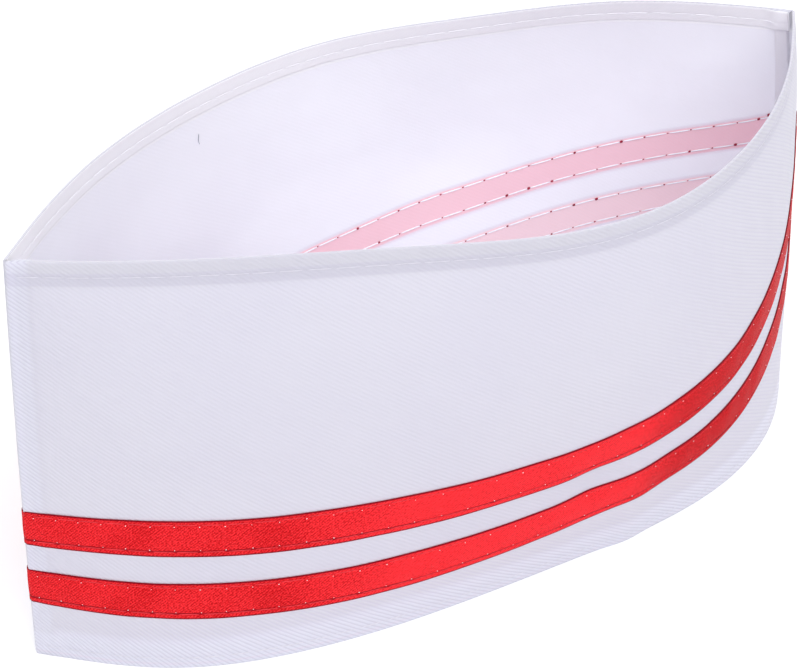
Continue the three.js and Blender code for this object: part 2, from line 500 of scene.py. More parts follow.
def addRelief(tree, shader, height, strength, depth):
    bump = addNode(tree, "ShaderNodeBump", Strength=strength, Distance=depth, Height=height)
    feed(tree, shader.inputs["Normal"], bump.outputs["Normal"])


# Slightly wavering diagonal lines in the cloth's own run, 0 in a groove and 1 on a ridge
def diagonalLines(tree, angle, spacing, waver):
    coordinates = tree.nodes.new("ShaderNodeUVMap")
    coordinates.uv_map = "clothRun"
    run = coordinates.outputs["UV"]
    parts = addNode(tree, "ShaderNodeSeparateXYZ", Vector=run)
    slope = math.radians(angle)
    perMetre = 2 * math.pi / (spacing * mm)
    across = times(tree, parts.outputs["X"], math.sin(slope) * perMetre)
    down = times(tree, parts.outputs["Y"], math.cos(slope) * perMetre)
    drift = addNode(tree, "ShaderNodeTexNoise", Vector=run, Scale=260.0, Detail=2.0)
    phase = calculate(tree, "ADD", across, down)
    phase = calculate(tree, "ADD", phase, times(tree, drift.outputs["Fac"], waver))
    wave = times(tree, calculate(tree, "SINE", phase), 0.5)
    return calculate(tree, "ADD", wave, 0.5), run


def newMaterial(name):
    material = bpy.data.materials.new(name)
    material.use_nodes = True
    tree = material.node_tree
    shader = tree.nodes["Principled BSDF"]
    return material, tree, shader


def setShader(shader, looks):
    for name, value in looks.items():
        shader.inputs[name].default_value = value


# Places are in mm from the named edge. A layer or step has its start, its end and its strength at each.
twill = {
    "colour": (0.560, 0.553, 0.622, 1),
    # Painted light: the inside face and the turned-in layers are lighter copies of the same white twill,
    # standing in for the light that comes through the thin cloth
    "insideLitColour": (0.820, 0.816, 0.902, 1),
    "foldedLitColour": (0.960, 0.948, 1.000, 1),
    # A darker tone for the random blotches, used also as the painted shade of the hem band and of the twill's
    # grooves, and for the darker span behind the ribbons
    "toneAndShadeColour": (0.488, 0.474, 0.586, 1),
    "insideToneAndShade": (0.790, 0.780, 0.890, 1),
    "layeredLitColour": (0.650, 0.656, 0.768, 1),
    "pinkColour": (0.985, 0.590, 0.665, 1),
    "edgeShadowColour": (0.700, 0.560, 0.660, 1),
    "lineAngle": 32,
    "lineSpacing": 1.0,
    "lineWaver": 1.6,
    "outsideLines": (0.12, 0.50),
    "insideLines": (0.01, 0.03),
    "through": 0.45,
    "foldedThrough": 0.3,
    "shader": {
        "Roughness": 0.78,
        "Specular IOR Level": 0.28,
        "Sheen Weight": 0.12,
        "Sheen Roughness": 0.45,
        "Subsurface Radius": (1, 1, 1),
        "Subsurface Scale": 0.0012,
    },
    "bump": 0.22,
    "bumpDepth": 0.00022,
    "fuzz": 0.35,
    "blotches": (0.3, 0.7, 0.0, 0.14),
    "hemTint": 0.4,
    "hemShade": (3.4, 6.2, 0.5),
    "belowHemLight": (6.6, 7.4, 0.5),
    "footLight": (6.0, 10.0, 0.8, 0.0),
    "seamLight": (4.4, 6.6, 0.5, 0.0),
    "hemStep": (6.2, 6.8, 1.2, 0.0),
    "seamStep": (4.8, 6.2, 0.6, 0.0),
    "hemGroove": (4.15, 4.25, 0.7),
    "hemGrooveDepth": 1.3,
    "footGroove": (2.95, 3.05, 0.7),
    "nearFoot": (9, 16, 1, 0),
    "nearSeam": (4, 9, 1, 0),
    "nearLowEnd": (0.15, 0.22, 0, 0.9),
    "grooveShape": (0.0, 0.55, 1, 0),
}
white = (1, 1, 1, 1)

# How the ribbons show through the cloth behind them, with a painted shadow at their edges and painted light on
# the lower band, as shares of each colour
showThrough = {
    "between": 0.12,
    "outsideEdges": 0.10,
    "edges": 0.30,
    "edgeMargin": 0.1,
    "bands": 0.97,
    "lowerLight": 0.22,
    "band": (0.7, 9.4),
    "bandSoftness": 0.7,
    "edgeSoftness": 0.9,
    "betweenSoftness": 1.2,
}


# The ribbons behind the cloth: pink bands on the inside of the wall, with a mauve painted shadow at their edges
# and painted light on the lower band, and only a faint edge outside
def showRibbons(tree, colour, inside, toneAndShade):
    fromRibbon = fact(tree, "fromRibbonTop")
    margin = showThrough["edgeMargin"]
    edges = []
    bands = []
    for offset in (0, hatShape["ribbonPitch"]):
        edgeEnd = offset + hatShape["ribbonWidth"] + margin
        bandStart, bandEnd = (offset + side for side in showThrough["band"])
        edges.append(stripe(tree, fromRibbon, offset - margin, edgeEnd, showThrough["edgeSoftness"]))
        bands.append(stripe(tree, fromRibbon, bandStart, bandEnd, showThrough["bandSoftness"]))
    lowest = hatShape["ribbonPitch"] + hatShape["ribbonWidth"]
    between = stripe(tree, fromRibbon, 0.0, lowest, showThrough["betweenSoftness"])
    colour = tint(tree, colour, between, showThrough["between"], toneAndShade)
    bothEdges = calculate(tree, "MAXIMUM", *edges)
    if not inside:
        return tint(tree, colour, bothEdges, showThrough["outsideEdges"], twill["pinkColour"])
    # Partly the ribbon's dim show-through and partly painted shadow: a mauve line along each ribbon's edges
    # inside, by the stitched relief
    colour = tint(tree, colour, bothEdges, showThrough["edges"], twill["edgeShadowColour"])
    bothBands = calculate(tree, "MAXIMUM", *bands)
    colour = tint(tree, colour, bothBands, showThrough["bands"], twill["pinkColour"])
    # Painted light: the lower pink band is paler, lifting it out of the shade of the near wall
    return tint(tree, colour, bands[1], showThrough["lowerLight"], white)


# How strongly painted shade darkens the twill's grooves, more so near the foot, the seam and the low end
def paintedGrooveShade(tree, lines, run, fromFoot, fromSeam, strengths):
    openStrength, edgeStrength = strengths
    nearFoot = softEdge(tree, fromFoot, *twill["nearFoot"])
    nearSeam = softEdge(tree, fromSeam, *twill["nearSeam"])
    place = addNode(tree, "ShaderNodeSeparateXYZ", Vector=run)
    nearLowEnd = softEdge(tree, place.outputs["X"], *twill["nearLowEnd"])
    near = calculate(tree, "MAXIMUM", calculate(tree, "MAXIMUM", nearFoot, nearSeam), nearLowEnd)
    strength = calculate(tree, "ADD", times(tree, near, edgeStrength), openStrength)
    return times(tree, softEdge(tree, lines, *twill["grooveShape"]), strength)


# White twill. Outside, the hem band gets a painted shade, darker where the double layer of cloth lets less
# light through, and the foot and seam over their allowances get painted light, paler. Inside, painted light
# makes a paler strip below the hem, and the grooves of the diagonal lines get painted shade.
def makeTwill(name, inside, plain, through):
    material, tree, shader = newMaterial(name)
    toneAndShade = twill["insideToneAndShade" if inside else "toneAndShadeColour"]
    lines, run = diagonalLines(tree, twill["lineAngle"], twill["lineSpacing"], twill["lineWaver"])
    fromRim = fact(tree, "fromRim")
    fromFoot = fact(tree, "fromFoot")
    fromSeam = fact(tree, "fromSeamEdge")
    blotch = addNode(tree, "ShaderNodeTexNoise", Vector=run, Scale=24.0, Detail=3.0)
    blotches = softEdge(tree, blotch.outputs["Fac"], *twill["blotches"])
    colour = mixColour(tree, blotches, plain, toneAndShade)
    if inside:
        # Painted light: a paler strip just below the hem's edge inside, against the shade the hem's step casts
        # there
        colour = tint(tree, colour, stripe(tree, fromRim, *twill["belowHemLight"]), twill["hemTint"], white)
    else:
        # Painted light: over the seam allowance and the turned-up foot the outside is paler, lifting the darker
        # shading there
        overFoot = softEdge(tree, fromFoot, *twill["footLight"])
        overSeam = softEdge(tree, fromSeam, *twill["seamLight"])
        allowanceLight = calculate(tree, "MAXIMUM", overFoot, overSeam)
        colour = mixColour(tree, allowanceLight, colour, twill["layeredLitColour"])
        # Painted shade: the hem band outside is darker, as less light comes through the double layer of cloth
        hemShade = stripe(tree, fromRim, *twill["hemShade"])
        colour = tint(tree, colour, hemShade, twill["hemTint"], toneAndShade)
    colour = showRibbons(tree, colour, inside, toneAndShade)
    strengths = twill["insideLines" if inside else "outsideLines"]
    groove = paintedGrooveShade(tree, lines, run, fromFoot, fromSeam, strengths)
    # Painted shade: the twill's grooves are darkened towards the darker tone
    feed(tree, shader.inputs["Base Color"], mixColour(tree, groove, colour, toneAndShade))
    setShader(shader, twill["shader"])
    shader.inputs["Subsurface Weight"].default_value = through
    fuzz = addNode(tree, "ShaderNodeTexNoise", Vector=run, Scale=2400.0, Detail=2.0)
    relief = times(tree, fuzz.outputs["Fac"], twill["fuzz"])
    relief = calculate(tree, "ADD", relief, times(tree, lines, 0.2 if inside else 1.0))
    hemStep = softEdge(tree, fromRim, *twill["hemStep"])
    seamStep = softEdge(tree, fromSeam, *twill["seamStep"])
    relief = calculate(tree, "ADD", relief, calculate(tree, "ADD", hemStep, seamStep))
    hemGroove = stripe(tree, fromRim, *twill["hemGroove"])
    hemGroove = times(tree, hemGroove, twill["hemGrooveDepth"])
    footGroove = stripe(tree, fromFoot, *twill["footGroove"])
    relief = calculate(tree, "SUBTRACT", relief, calculate(tree, "ADD", hemGroove, footGroove))
    addRelief(tree, shader, relief, twill["bump"], twill["bumpDepth"])
    return material


satin = {
    # The satin's shaded colour and its lit colour, mixed as painted sheen
    "colour": (0.455, 0.003, 0.006, 1),
    "brightColour": (0.930, 0.030, 0.040, 1),
    "darkEdgeAndShadeColour": (0.195, 0.002, 0.010, 1),
    "lineAngle": -38,
    "lineSpacing": 0.62,
    "lineWaver": 2.6,
    "shader": {
        "Roughness": 0.45,
        "Specular IOR Level": 0.05,
        "Subsurface Weight": 0.2,
        "Subsurface Radius": (1, 0.25, 0.25),
        "Subsurface Scale": 0.0012,
    },
    "bump": 0.6,
    "bumpDepth": 0.0002,
    "lineShine": 0.40,
    "grainShine": (0.36, 0.64, -0.15, 0.60),
    "slowShine": (0.3, 0.7, -0.10, 0.12),
    "brightRun": (0.112, 0.146, 0.045),
    "brighter": 0.55,
    "shadeRun": (0.150, 0.190, 0.0, 0.45),
    "upperEdge": (0.2, 0.5, 0.95, 0.0),
    "lowerEdge": (9.5, 9.8, 0.0, 0.95),
    "crease": (8.36, 8.62, 0.28),
    "creasePatches": (0.35, 0.6, 0.30, 0.75),
    "furrow": (1.05, 1.15, 0.3),
    "furrowShade": 0.12,
    "grainDepth": 1.6,
    "creaseDepth": 2.6,
    "furrowDepth": 0.8,
}


# Painted sheen on the satin, from its grain, with a painted highlight and a painted shade at places along the
# hat
def satinShine(tree, lines, run, grain, slow):
    shine = times(tree, lines, satin["lineShine"])
    shine = calculate(tree, "ADD", shine, softEdge(tree, grain, *satin["grainShine"]))
    shine = calculate(tree, "ADD", shine, softEdge(tree, slow, *satin["slowShine"]))
    place = addNode(tree, "ShaderNodeSeparateXYZ", Vector=run)
    bright = stripe(tree, place.outputs["X"], *satin["brightRun"])
    shine = calculate(tree, "ADD", shine, times(tree, bright, satin["brighter"]))
    runShade = softEdge(tree, place.outputs["X"], *satin["shadeRun"])
    return calculate(tree, "SUBTRACT", shine, runShade)


# Red satin ribbon, darker at its edges, with painted shade along the crease beside the lower stitches and along
# the furrow by the upper stitches
def makeSatin(name):
    material, tree, shader = newMaterial(name)
    lines, run = diagonalLines(tree, satin["lineAngle"], satin["lineSpacing"], satin["lineWaver"])
    across = fact(tree, "acrossRibbon")
    fine = addNode(tree, "ShaderNodeTexNoise", Vector=run, Scale=1900.0, Detail=2.0, Roughness=0.6)
    grain = fine.outputs["Fac"]
    slow = addNode(tree, "ShaderNodeTexNoise", Vector=run, Scale=70.0, Detail=2.0).outputs["Fac"]
    shine = satinShine(tree, lines, run, grain, slow)
    colour = mixColour(tree, shine, satin["colour"], satin["brightColour"])
    upperEdge = softEdge(tree, across, *satin["upperEdge"])
    lowerEdge = softEdge(tree, across, *satin["lowerEdge"])
    # Painted shade in the crease and the furrow by the stitch rows
    crease = stripe(tree, across, *satin["crease"])
    furrow = stripe(tree, across, *satin["furrow"])
    patchy = softEdge(tree, slow, *satin["creasePatches"])
    darkEdgesAndShade = calculate(tree, "MAXIMUM", upperEdge, lowerEdge)
    darkEdgesAndShade = calculate(tree, "MAXIMUM", darkEdgesAndShade, times(tree, crease, patchy))
    darkEdgesAndShade = calculate(tree, "MAXIMUM", darkEdgesAndShade, times(tree, furrow, satin["furrowShade"]))
    feed(tree, shader.inputs["Base Color"], mixColour(tree, darkEdgesAndShade, colour, satin["darkEdgeAndShadeColour"]))
    setShader(shader, satin["shader"])
    relief = calculate(tree, "ADD", lines, times(tree, grain, satin["grainDepth"]))
    relief = calculate(tree, "SUBTRACT", relief, times(tree, crease, satin["creaseDepth"]))
    relief = calculate(tree, "SUBTRACT", relief, times(tree, furrow, satin["furrowDepth"]))
    addRelief(tree, shader, relief, satin["bump"], satin["bumpDepth"])
    return material


# Each thread's colour, and a darker one painted as shade between the plies
threadColours = {
    "whiteThread": ((0.96, 0.95, 1.0, 1), (0.84, 0.82, 0.90, 1)),
    "clothThread": ((0.66, 0.65, 0.73, 1), (0.55, 0.54, 0.62, 1)),
    # A grey darkened as painted shadow, for the loose thread end
    "shadowGreyThread": ((0.36, 0.36, 0.43, 1), (0.26, 0.26, 0.33, 1)),
    "redThread": ((0.80, 0.030, 0.045, 1), (0.42, 0.006, 0.014, 1)),
    "darkRedThread": ((0.36, 0.010, 0.045, 1), (0.16, 0.004, 0.016, 1)),
}


# Twisted thread, its plies wound along the object's own space, with painted shade between them
def makeThread(name, colour, plyShadeColour):
    material, tree, shader = newMaterial(name)
    place = tree.nodes.new("ShaderNodeTexCoord").outputs["Object"]
    plies = addNode(tree, "ShaderNodeTexWave", Vector=place, Scale=420.0, Distortion=1.5)
    plies.bands_direction = "DIAGONAL"
    tone = tint(tree, colour, plies.outputs["Fac"], 0.5, plyShadeColour)
    feed(tree, shader.inputs["Base Color"], tone)
    setShader(shader, {"Roughness": 0.5, "Specular IOR Level": 0.35})
    addRelief(tree, shader, plies.outputs["Fac"], 0.2, 0.0001)
    return material


# The twill's faces are lit and shaded copies of one cloth: the inside and turned-in faces are painted lighter
outsideTwill = makeTwill("twillOutside", False, twill["colour"], twill["through"])
insideTwill = makeTwill("twillInside", True, twill["insideLitColour"], twill["through"])
foldedTwill = makeTwill("twillFolded", True, twill["foldedLitColour"], twill["foldedThrough"])
clothMaterials = [outsideTwill, insideTwill, foldedTwill, foldedTwill]
redSatin = makeSatin("redSatin")
threads = {name: makeThread(name, *tones) for name, tones in threadColours.items()}
print("materials made")

# The two sides


# 1 where a seam allowance lies under the cloth, with a short slope beyond it
def overAllowance(shape, run):
    fromEnd = run if shape["allowanceAt"] == "tallEnd" else clothLength - run
    slopeStart, slopeEnd = sideCloth["allowanceSlope"]
    return 1 - smoothStep(slopeStart, slopeEnd, fromEnd)


# A row's drop, depth and run of cloth down from the fold at the rim
def rowPlace(row, total):
    kind, value = row
    straight = half + fold
    bend = math.pi * fold
    wallRun = total - 2 * straight
    if kind == "hem":
        return value, half + 2 * fold, -bend - (value - straight)
    if kind == "rimFold":
        turned = math.pi * value
        return straight - fold * math.sin(turned), half + fold + fold * math.cos(turned), bend * (value - 1)
    if kind == "wall":
        return straight + wallRun * value, half, wallRun * value
    if kind == "footFold":
        turned = math.pi * value
        drop = total - straight + fold * math.sin(turned)
        return drop, half + fold - fold * math.cos(turned), wallRun + bend * value
    return total - value, half + 2 * fold, wallRun + bend + value - straight


def sideRows():
    foldSteps = sideCloth["foldSteps"]
    wallRows = sideCloth["wallRows"]
    rows = [("hem", rise) for rise in sideCloth["hemRows"]]
    rows += [("rimFold", k / foldSteps) for k in range(foldSteps + 1)]
    rows += [("wall", k / wallRows) for k in range(1, wallRows)]
    rows += [("footFold", k / foldSteps) for k in range(foldSteps + 1)]
    rows += [("turnUp", rise) for rise in sideCloth["turnUpRows"]]
    return rows


def makeSide(shape):
    def spot(run, row):
        kind = row[0]
        along = min(max(run / clothLength, 0), 1)
        total = sectionAt(shape, along)["total"]
        drop, depth, down = rowPlace(row, total)
        inner = (depth - half) / (2 * fold)
        relief = inner * sideCloth["reliefInside"] - sideCloth["reliefOutside"]
        depth += overAllowance(shape, run) * relief
        point = sidePoint(shape, run, drop, depth, half + sideCloth["seamClear"])
        point.z = max(point.z, half)
        facts = {
            "fromRim": farAway if kind == "turnUp" else drop,
            "fromFoot": farAway if kind == "hem" else total - drop,
            "fromSeamEdge": run if shape["allowanceAt"] == "tallEnd" else clothLength - run,
            "fromRibbonTop": drop - ribbonDrop(along) if kind == "wall" else -farAway,
            "turnedIn": 1.0 if kind in ("hem", "turnUp") or row == ("rimFold", 0) else 0.0,
        }
        return point, Vector((run * mm, -down * mm)), facts

    bm = bmesh.new()
    columns = columnsAlong(sideCloth["columnStep"], sideCloth["columnsPastSeam"])
    layGrid(bm, columns, sideRows(), spot, plainFacts)
    for layer in (0, 1):
        addAllowance(bm, shape, layer)
    turnOutwards(bm, shape)
    piece = finishPiece(shape["name"] + "_side_cloth", bm, clothMaterials)
    thicken(piece, sideCloth["thickness"], 1)
    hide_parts(shape["name"] + "_side_panel")


# A layer of the end seam's allowance, pressed flat against the inside of this side
def addAllowance(bm, shape, layer):
    edge = sideCloth["allowance"] - sideCloth["allowanceLap"] * layer
    runs = [1 + sideCloth["allowanceStep"] * k for k in range(6)] + [edge - sideCloth["edgeRow"], edge]
    if shape["allowanceAt"] == "lowEnd":
        runs = [clothLength - run for run in runs]
    rows = [k / sideCloth["allowanceRows"] for k in range(sideCloth["allowanceRows"] + 1)]
    gap = sideCloth["allowanceGap"]
    layerDepth = (layer + 1) * (sideCloth["thickness"] + sideCloth["layerGap"])

    def spot(run, fall):
        drop = gap + (sectionAt(shape, run / clothLength)["total"] - 2 * gap) * fall
        depth = half + layerDepth - sideCloth["reliefOutside"]
        point = sidePoint(shape, run, drop, depth, half + sideCloth["seamClear"])
        facts = {**plainFacts, "fromSeamEdge": 0.0, "turnedIn": 1.0}
        return point, Vector((run * mm, -drop * mm)), facts

    layGrid(bm, runs, rows, spot, plainFacts)


# The part of a wall that shows which way its sheet faces, in metres
wallMiddle = {"reach": 0.08, "low": 0.015, "high": 0.09}


# Turns the sheet over where its right side faces into the hat
def turnOutwards(bm, shape):
    bm.normal_update()
    outwards = 0
    for face in bm.faces:
        middle = face.calc_center_median()
        if abs(middle.x) < wallMiddle["reach"] and wallMiddle["low"] < middle.z < wallMiddle["high"]:
            outwards += 1 if face.normal.y * shape["out"] > 0 else -1
    if outwards < 0:
        bmesh.ops.reverse_faces(bm, faces=bm.faces[:])


makeSide(rightShape)
makeSide(leftShape)
print("sides laid")

# The crown, which closes the foot

crownCloth = {
    "thickness": 0.38,
    "depth": 1.1,
    "foldRadius": 0.7,
    "foldSteps": 5,
    "turnUp": 7,
    "turnUpRows": (7, 5.5, 4, 2.8, 1.8),
    "acrossRows": 44,
    "columnStep": 2,
    "endRuns": (1, 2.5, 4, 5.5),
    "evenFrom": 7,
    "seamClear": 0.3,
    "rise": 1.1,
    "riseFull": 26,
    "ridge": 0.55,
    "ridgeSharpness": 26,
    "flat": (0.136, 0.272),
    "area": 0.0262,
}


def crownRows():
    steps = crownCloth["foldSteps"]
    across = crownCloth["acrossRows"]
    rows = [("right", rise) for rise in crownCloth["turnUpRows"]]
    rows += [("rightFold", k / steps) for k in range(steps + 1)]
    rows += [("floor", k / across) for k in range(1, across)]
    rows += [("leftFold", 1 - k / steps) for k in range(steps + 1)]
    rows += [("left", rise) for rise in reversed(crownCloth["turnUpRows"])]
    return rows


# A place on the crown's turned-up edge, against the inside of a side
def crownEdge(shape, run, rise, depth):
    total = sectionAt(shape, run / clothLength)["total"]
    depth += overAllowance(shape, run) * sideCloth["reliefInside"]
    return sidePoint(shape, run, total - rise, depth, half + crownCloth["seamClear"])


# How high the crown's cloth lies over the ground: a low arch with a soft ridge along its middle
def crownRise(run, across):
    evenFrom = crownCloth["evenFrom"]
    full = crownCloth["riseFull"]
    ends = smoothStep(evenFrom, full, run) * smoothStep(evenFrom, full, clothLength - run)
    slow = noise.noise(Vector((run * 0.021, across * 2.1, 8.2)))
    arch = math.sin(math.pi * across) * (0.4 + 0.7 * slow)
    ridge = math.exp(-(((across - 0.5) * crownCloth["ridgeSharpness"]) ** 2)) * crownCloth["ridge"]
    return ends * (arch + ridge) * crownCloth["rise"]


def makeCrown():
    endRuns = crownCloth["endRuns"]
    evenFrom = crownCloth["evenFrom"]
    columns = [*endRuns, *evenly(evenFrom, clothLength - evenFrom, crownCloth["columnStep"])]
    columns += [clothLength - run for run in reversed(endRuns)]
    turnUp = crownCloth["turnUp"]
    radius = crownCloth["foldRadius"]

    def spot(run, row):
        kind, value = row
        depth = crownCloth["depth"]
        shape = rightShape if kind.startswith("right") else leftShape
        if kind == "floor":
            rightEdge = crownEdge(rightShape, run, radius, depth + radius)
            leftEdge = crownEdge(leftShape, run, radius, depth + radius)
            point = rightEdge.lerp(leftEdge, value)
            point.z = half + max(crownRise(run, value), 0)
            down = turnUp + value * (rightEdge - leftEdge).length
        elif kind.endswith("Fold"):
            turned = math.pi / 2 * value
            depth += radius * (1 - math.cos(turned))
            point = crownEdge(shape, run, radius + half - radius * math.sin(turned), depth)
            point.z = max(point.z, half)
            down = turnUp
        else:
            point = crownEdge(shape, run, value, depth)
            down = turnUp - value
        return point, Vector((run * mm, down * mm)), plainFacts

    bm = bmesh.new()
    layGrid(bm, columns, crownRows(), spot, plainFacts)
    bm.normal_update()
    if sum(face.normal.z for face in bm.faces if abs(face.normal.z) > 0.7) > 0:
        bmesh.ops.reverse_faces(bm, faces=bm.faces[:])
    piece = finishPiece("crown_cloth", bm, clothMaterials)
    thicken(piece, crownCloth["thickness"], 1)
    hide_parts("crown_panel")


makeCrown()
print("crown laid")

# The ribbons

ribbon = {
    "thickness": 0.28,
    "gap": 0.03,
    "puff": 0.26,
    "pucker": 0.55,
    "upperEdgeRise": 0.10,
    "lowerEdgeRise": 0.14,
    "stitchPull": 0.12,
    "flatter": 0.6,
    "flatterRun": (0.84, 0.93),
    "rippleRun": (0.60, 0.82),
    "rippleFade": 0.06,
    "ripples": 15,
    "rippleRise": 0.35,
    "stitchRows": (1.1, 8.6),
    "columnStep": 1.4,
    "columnsPastSeam": (0.6, 1.3, 2),
    "acrossStep": 0.5,
    "flat": (0.010, 0.286),
}

# The machine's stitches, in mm
stitching = {
    "pitch": 6.6,
    "length": 5.9,
    "firstRun": 3.2,
    "lastGap": 2,
    "wander": 0.18,
    "lengthWander": 0.2,
    "hemDrop": 4.2,
    "crownRise": 3,
    "sunk": 0.03,
    "outsideClear": 0.05,
    "insideClear": 0.5,
    "whiteRadius": 0.11,
    "redRadius": 0.12,
    "insideRadius": 0.23,
    "insideLonger": 0.35,
    "arch": 0.02,
    "insideArch": 0.06,
    "ribbonRise": 0.02,
    "dotRise": 0.14,
    "dotInwards": 0.5,
    "dotBack": 0.35,
    "dotRadius": (0.08, 0.14),
    "prickBack": 0.15,
    "prickRadius": (0.20, 0.30),
    "bigPrickRadius": (0.36, 0.50),
    "bigPricks": 0.15,
}


# How far the ribbon's middle stands off the cloth, across mm down from its upper edge
def ribbonLift(shape, along, across, lower):
    width = hatShape["ribbonWidth"]
    upperRow, lowerRow = ribbon["stitchRows"]
    if across < upperRow:
        rise = ribbon["upperEdgeRise"] * math.sin(math.pi * across / upperRow)
    elif across < lowerRow:
        place = (across - upperRow) / (lowerRow - upperRow)
        pucker = noise.noise(Vector((along * 46, across * 0.25, 2.7 if lower else 6.1)))
        rise = ribbon["puff"] * math.sin(math.pi * place) ** 0.7 * (1 + ribbon["pucker"] * pucker)
    else:
        rise = ribbon["lowerEdgeRise"] * math.sin(math.pi * (across - lowerRow) / (width - lowerRow))
    stitch = math.cos(2 * math.pi * along * clothLength / stitching["pitch"])
    rise *= 1 + ribbon["stitchPull"] * stitch
    rise *= 1 - ribbon["flatter"] * smoothStep(*ribbon["flatterRun"], along)
    if lower and shape["name"] == "right":
        start, end = ribbon["rippleRun"]
        reach = smoothStep(start, start + ribbon["rippleFade"], along)
        reach *= 1 - smoothStep(end - ribbon["rippleFade"], end, along)
        swell = math.sin(2 * math.pi * along * ribbon["ripples"]) * math.sin(math.pi * across / width)
        rise += ribbon["rippleRise"] * reach * max(swell, 0)
    return ribbon["thickness"] / 2 + ribbon["gap"] + rise


def makeRibbon(shape, lower, nodeName):
    offset = hatShape["ribbonPitch"] if lower else 0

    def spot(run, across):
        along = min(max(run / clothLength, 0), 1)
        lift = ribbonLift(shape, along, across, lower)
        lift += overAllowance(shape, run) * sideCloth["reliefOutside"]
        point = ribbonPoint(shape, run, ribbonDrop(along) + offset + across, lift)
        return point, Vector((run * mm, -across * mm)), {"acrossRibbon": across}

    bm = bmesh.new()
    columns = columnsAlong(ribbon["columnStep"], ribbon["columnsPastSeam"])
    rows = evenly(0, hatShape["ribbonWidth"], ribbon["acrossStep"])
    layGrid(bm, columns, rows, spot, ("acrossRibbon",))
    turnOutwards(bm, shape)
    piece = finishPiece(nodeName + "_satin", bm, [redSatin])
    thicken(piece, ribbon["thickness"])
    piece.visible_shadow = False  # thin satin lets light on to the cloth behind it
    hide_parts(nodeName)


for shape in (rightShape, leftShape):
    makeRibbon(shape, False, shape["name"] + "_ribbon_by_rim")
    makeRibbon(shape, True, shape["name"] + "_ribbon_by_crown")
print("ribbons laid")

# The stitches


# One stitch: a short thread with rounded ends, laid along the cloth
def addStitch(bm, spot, start, end, radius, arch):
    made = bmesh.ops.create_uvsphere(bm, u_segments=6, v_segments=7, radius=1)
    for vert in made["verts"]:
        along = (vert.co.z + 1) / 2
        around = Vector((vert.co.x, vert.co.y))
        if around.length > 0.00001:
            around.normalize()
        size = radius * (1 - abs(vert.co.z) ** 5) ** 0.5
        lift = arch * (1 - (2 * along - 1) ** 2) + around.y * size
        vert.co = placed(spot(start + (end - start) * along, around.x * size, lift))


def addDot(bm, spot, run, radius):
    made = bmesh.ops.create_uvsphere(bm, u_segments=6, v_segments=4, radius=1)
    for vert in made["verts"]:
        vert.co = placed(spot(run + vert.co.x * radius * 1.2, vert.co.y * radius, vert.co.z * radius * 0.7))


# A row of stitches along a side, as starts and ends with the small unevenness of a machine's row
def stitchPlaces():
    lastEnd = clothLength - stitching["lastGap"]
    lengthWander = stitching["lengthWander"]
    run = stitching["firstRun"]
    places = []
    while run + stitching["length"] < lastEnd:
        start = run + dice.uniform(-stitching["wander"], stitching["wander"])
        places.append((start, start + stitching["length"] + dice.uniform(-lengthWander, lengthWander)))
        run += stitching["pitch"]
    return places


def outsideRow(shape, dropAt, rise):
    def spot(run, aside, lift):
        drop = dropAt(run / clothLength) + aside
        relief = overAllowance(shape, run) * sideCloth["reliefOutside"]
        return sidePoint(shape, run, drop, -(rise + relief + lift), stitching["outsideClear"])

    return spot


def insideRow(shape, dropAt, depth):
    def spot(run, aside, lift):
        drop = dropAt(run / clothLength) + aside
        relief = overAllowance(shape, run) * (sideCloth["reliefInside"] - sideCloth["reliefOutside"])
        return sidePoint(shape, run, drop, depth + relief + lift, stitching["insideClear"])

    return spot


def finishThread(name, bm, thread):
    bmesh.ops.recalc_face_normals(bm, faces=bm.faces[:])
    piece = finishPiece(name, bm, [threads[thread]])


# Sews one row apart and then joins it to the others, which is quicker
def sewRow(rows, spot, addOne):
    row = bmesh.new()
    for start, end in stitchPlaces():
        addOne(row, spot, start, end)
    mesh = bpy.data.meshes.new("row")
    row.to_mesh(mesh)
    row.free()
    rows.from_mesh(mesh)
    bpy.data.meshes.remove(mesh)


def hemStitch(row, spot, start, end):
    addStitch(row, spot, start, end, stitching["whiteRadius"], stitching["arch"])


def ribbonStitch(row, spot, start, end):
    addStitch(row, spot, start, end, stitching["redRadius"], stitching["arch"])


def insideStitch(row, spot, start, end):
    longer = end + stitching["insideLonger"]
    addStitch(row, spot, start, longer, stitching["insideRadius"], stitching["insideArch"])


# Painted highlight: a small white dot standing for a glint on the satin beside a stitch
def glintDot(row, spot, start, end):
    addDot(row, spot, start - stitching["dotBack"], dice.uniform(*stitching["dotRadius"]))


def redPrick(row, spot, start, end):
    big = dice.random() < stitching["bigPricks"]
    radius = dice.uniform(*stitching["bigPrickRadius" if big else "prickRadius"])
    addDot(row, spot, start - stitching["prickBack"], radius)


# One stitch row of a ribbon, with white dots beside it outside as painted highlights, glints on the satin, and
# the pricks inside
def sewRibbonRow(shape, seams, down, inwards):
    def rowDrop(along):
        return ribbonDrop(along) + down

    def glintDrop(along):
        return ribbonDrop(along) + down + inwards

    top = outsideRow(shape, rowDrop, ribbon["thickness"] + stitching["ribbonRise"])
    under = insideRow(shape, rowDrop, 2 * half)
    glintDots = outsideRow(shape, glintDrop, ribbon["thickness"] + stitching["dotRise"])
    sewRow(seams["ribbon"], top, ribbonStitch)
    sewRow(seams["ribbonInsideAndGlints"], under, insideStitch)
    sewRow(seams["ribbonInsideAndGlints"], glintDots, glintDot)
    sewRow(seams["pricks"], under, redPrick)


